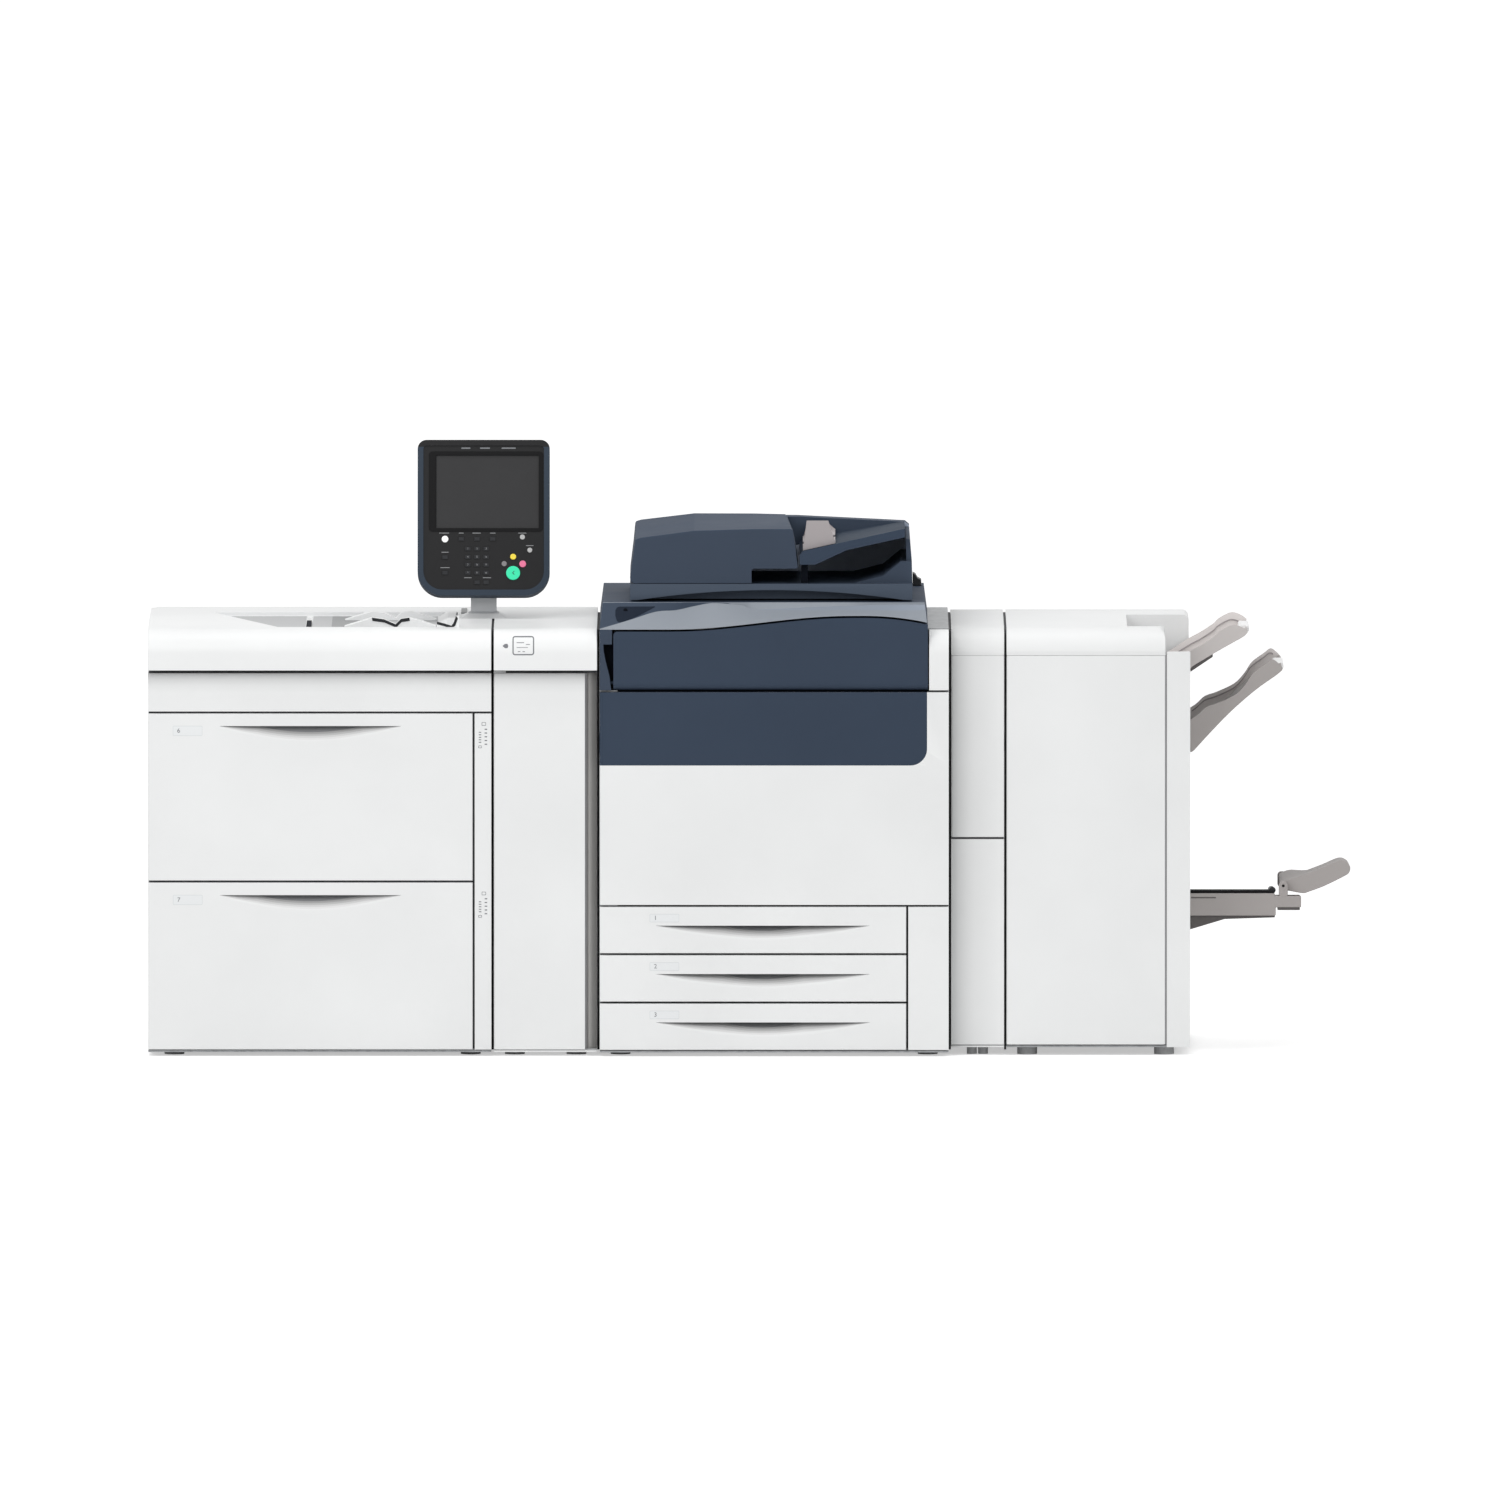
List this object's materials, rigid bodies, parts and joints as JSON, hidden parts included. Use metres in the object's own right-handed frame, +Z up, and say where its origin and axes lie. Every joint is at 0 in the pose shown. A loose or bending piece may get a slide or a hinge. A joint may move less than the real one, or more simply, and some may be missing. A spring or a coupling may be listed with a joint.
{
  "type": "digital production printer",
  "caption": "Production printing line: drawer feeder, control panel on a stand, print engine with scanner and document feeder, transport unit and finisher with exit trays.",
  "frame": {"origin": "on the floor under the middle of the whole machine", "axes": "+Z up, the doors and drawers face -Y, +X runs along the line from the feeder to the finisher"},
  "size_m": [2.89, 0.79, 1.4552],
  "materials": {
    "white_shell": "fine matt moulding",
    "dark_shell": "fine matt moulding, dark blue-grey",
    "frame_steel": "zinc-coated and painted sheet",
    "black_plastic": "matt",
    "taupe_plastic": "matt, slightly translucent",
    "stand_grey": "satin",
    "panel_black": "satin",
    "screen": "screen film",
    "key_rubber": "silicone keys",
    "key_white": "gloss",
    "key_grey": "gloss",
    "key_yellow": "gloss",
    "key_pink": "gloss",
    "key_green": "gloss, lit from behind",
    "belt_film": "polyimide film",
    "platen_glass": "clear float glass"
  },
  "bodies": {
    "root": {"feeder_frame": "frame_steel", "feeder_top_cover": "white_shell", "bypass_feed_head": "black_plastic", "front_bezels": "white_shell", "fixed_front_covers": "white_shell", "drawer_runners": "frame_steel", "interface_frame": "white_shell", "panel_stand": "stand_grey", "engine_frame": "frame_steel", "toner_cartridges": "black_plastic", "drum_units": "black_plastic", "transfer_belt": "belt_film", "fuser_unit": "frame_steel", "scanner_housing": "dark_shell", "platen_glass": "platen_glass", "transport_frame": "white_shell", "finisher_frame": "frame_steel", "finisher_covers": "white_shell", "top_tray": "taupe_plastic", "booklet_tray": "taupe_plastic", "rear_and_side_covers": "white_shell", "levelling_feet": "black_plastic"},
    "upper_drawer": {"upper_drawer_front": "white_shell", "upper_drawer_bin": "frame_steel"},
    "lower_drawer": {"lower_drawer_front": "white_shell", "lower_drawer_bin": "frame_steel"},
    "upper_lift": {"upper_lift_plate": "frame_steel"},
    "lower_lift": {"lower_lift_plate": "frame_steel"},
    "bypass_front": {"bypass_guide_front": "black_plastic"},
    "bypass_rear": {"bypass_guide_rear": "black_plastic"},
    "interface_door_leaf": {"interface_door": "white_shell"},
    "control_panel": {"panel_housing": "dark_shell", "panel_face": "panel_black", "touch_screen": "screen", "keypad_mat": "key_rubber"},
    "home_key": {"home_button": "key_white"},
    "interrupt_key": {"interrupt_button": "key_grey"},
    "clear_key": {"clear_button": "key_yellow"},
    "stop_key": {"stop_button": "key_pink"},
    "start_key": {"start_button": "key_green"},
    "power_key": {"power_button": "key_grey"},
    "front_door_leaf": {"front_door": "white_shell", "door_panel": "dark_shell"},
    "toner_lid": {"toner_cover": "dark_shell"},
    "tray_1": {"tray_1_front": "white_shell", "tray_1_bin": "frame_steel"},
    "tray_2": {"tray_2_front": "white_shell", "tray_2_bin": "frame_steel"},
    "tray_3": {"tray_3_front": "white_shell", "tray_3_bin": "frame_steel"},
    "scan_head": {"scan_carriage": "black_plastic"},
    "adf": {"adf_base": "dark_shell"},
    "adf_lid": {"adf_cover": "dark_shell"},
    "adf_input": {"adf_input_tray": "dark_shell"},
    "fence_front": {"document_guide_front": "taupe_plastic"},
    "fence_rear": {"document_guide_rear": "taupe_plastic"},
    "transport_door_leaf": {"transport_door": "white_shell"},
    "finisher_door_leaf": {"finisher_door": "white_shell"},
    "stacker": {"stacker_tray": "taupe_plastic"},
    "booklet_stop": {"booklet_flap": "black_plastic"}
  },
  "joints": [
    {"name": "upper_drawer_slide", "type": "slide", "parent": "root", "child": "upper_drawer", "axis": [0, -1, 0], "range_m": [0, 0.6]},
    {"name": "lower_drawer_slide", "type": "slide", "parent": "root", "child": "lower_drawer", "axis": [0, -1, 0], "range_m": [0, 0.6]},
    {"name": "upper_lift_slide", "type": "slide", "parent": "upper_drawer", "child": "upper_lift", "axis": [0, 0, 1], "range_m": [0, 0.22]},
    {"name": "lower_lift_slide", "type": "slide", "parent": "lower_drawer", "child": "lower_lift", "axis": [0, 0, 1], "range_m": [0, 0.22]},
    {"name": "bypass_guide_slide", "type": "slide", "parent": "root", "child": "bypass_front", "axis": [0, 1, 0], "range_m": [0, 0.09]},
    {"name": "bypass_guide_rear_slide", "type": "slide", "parent": "root", "child": "bypass_rear", "axis": [0, 1, 0], "range_m": [-0.09, 0]},
    {"name": "interface_door_hinge", "type": "hinge", "parent": "root", "child": "interface_door_leaf", "pos_m": [-0.6005, -0.3585, 0.469], "axis": [0, 0, -1], "range_deg": [0, 95]},
    {"name": "panel_tilt", "type": "hinge", "parent": "root", "child": "control_panel", "pos_m": [-0.641, 0.05, 1.15], "axis": [-1, 0, 0], "range_deg": [0, 20]},
    {"name": "home_press", "type": "slide", "parent": "control_panel", "child": "home_key", "axis": [0, 0.9781, -0.2079], "range_m": [0, 0.0015], "stiffness_N_per_m": 800, "springref_m": -0.0005},
    {"name": "interrupt_press", "type": "slide", "parent": "control_panel", "child": "interrupt_key", "axis": [0, 0.9781, -0.2079], "range_m": [0, 0.0015], "stiffness_N_per_m": 800, "springref_m": -0.0005},
    {"name": "clear_press", "type": "slide", "parent": "control_panel", "child": "clear_key", "axis": [0, 0.9781, -0.2079], "range_m": [0, 0.0015], "stiffness_N_per_m": 800, "springref_m": -0.0005},
    {"name": "stop_press", "type": "slide", "parent": "control_panel", "child": "stop_key", "axis": [0, 0.9781, -0.2079], "range_m": [0, 0.0015], "stiffness_N_per_m": 800, "springref_m": -0.0005},
    {"name": "start_press", "type": "slide", "parent": "control_panel", "child": "start_key", "axis": [0, 0.9781, -0.2079], "range_m": [0, 0.0015], "stiffness_N_per_m": 800, "springref_m": -0.0005},
    {"name": "power_press", "type": "slide", "parent": "control_panel", "child": "power_key", "axis": [0, 0.9781, -0.2079], "range_m": [0, 0.0015], "stiffness_N_per_m": 800, "springref_m": -0.0005},
    {"name": "front_door_hinge", "type": "hinge", "parent": "root", "child": "front_door_leaf", "pos_m": [-0.3395, -0.3655, 0.62125], "axis": [0, 0, -1], "range_deg": [0, 92]},
    {"name": "toner_cover_hinge", "type": "hinge", "parent": "root", "child": "toner_lid", "pos_m": [0.0495, -0.37, 0.899], "axis": [1, 0, 0], "range_deg": [0, 80]},
    {"name": "tray_1_slide", "type": "slide", "parent": "root", "child": "tray_1", "axis": [0, -1, 0], "range_m": [0, 0.55]},
    {"name": "tray_2_slide", "type": "slide", "parent": "root", "child": "tray_2", "axis": [0, -1, 0], "range_m": [0, 0.55]},
    {"name": "tray_3_slide", "type": "slide", "parent": "root", "child": "tray_3", "axis": [0, -1, 0], "range_m": [0, 0.55]},
    {"name": "scan_head_slide", "type": "slide", "parent": "root", "child": "scan_head", "axis": [1, 0, 0], "range_m": [0, 0.39]},
    {"name": "adf_lift_hinge", "type": "hinge", "parent": "root", "child": "adf", "pos_m": [0.051, 0.262, 1.102], "axis": [-1, 0, 0], "range_deg": [0, 65]},
    {"name": "adf_cover_hinge", "type": "hinge", "parent": "adf", "child": "adf_lid", "pos_m": [-0.274, -0.0755, 1.1463], "axis": [0, -1, 0], "range_deg": [0, 75]},
    {"name": "adf_tray_hinge", "type": "hinge", "parent": "adf", "child": "adf_input", "pos_m": [0.131, -0.0755, 1.193], "axis": [0, -1, 0], "range_deg": [0, 22]},
    {"name": "document_guide_slide", "type": "slide", "parent": "adf_input", "child": "fence_front", "axis": [0, 1, 0], "range_m": [0, 0.07]},
    {"name": "document_guide_rear_slide", "type": "slide", "parent": "adf_input", "child": "fence_rear", "axis": [0, 1, 0], "range_m": [-0.07, 0]},
    {"name": "transport_door_hinge", "type": "hinge", "parent": "root", "child": "transport_door_leaf", "pos_m": [0.4955, -0.3375, 0.74325], "axis": [0, 0, -1], "range_deg": [0, 90]},
    {"name": "finisher_door_hinge", "type": "hinge", "parent": "root", "child": "finisher_door_leaf", "pos_m": [0.6285, -0.3375, 0.4945], "axis": [0, 0, -1], "range_deg": [0, 95]},
    {"name": "stacker_tray_slide", "type": "slide", "parent": "root", "child": "stacker", "axis": [0, 0, -1], "range_m": [0, 0.28]},
    {"name": "booklet_flap_hinge", "type": "hinge", "parent": "root", "child": "booklet_stop", "pos_m": [1.282, -0.04, 0.398], "axis": [0, -1, 0], "range_deg": [0, 120]}
  ],
  "couplings": [
    {"joint": "bypass_guide_rear_slide", "follows": "bypass_guide_slide", "ratio": -1},
    {"joint": "document_guide_rear_slide", "follows": "document_guide_slide", "ratio": -1}
  ]
}
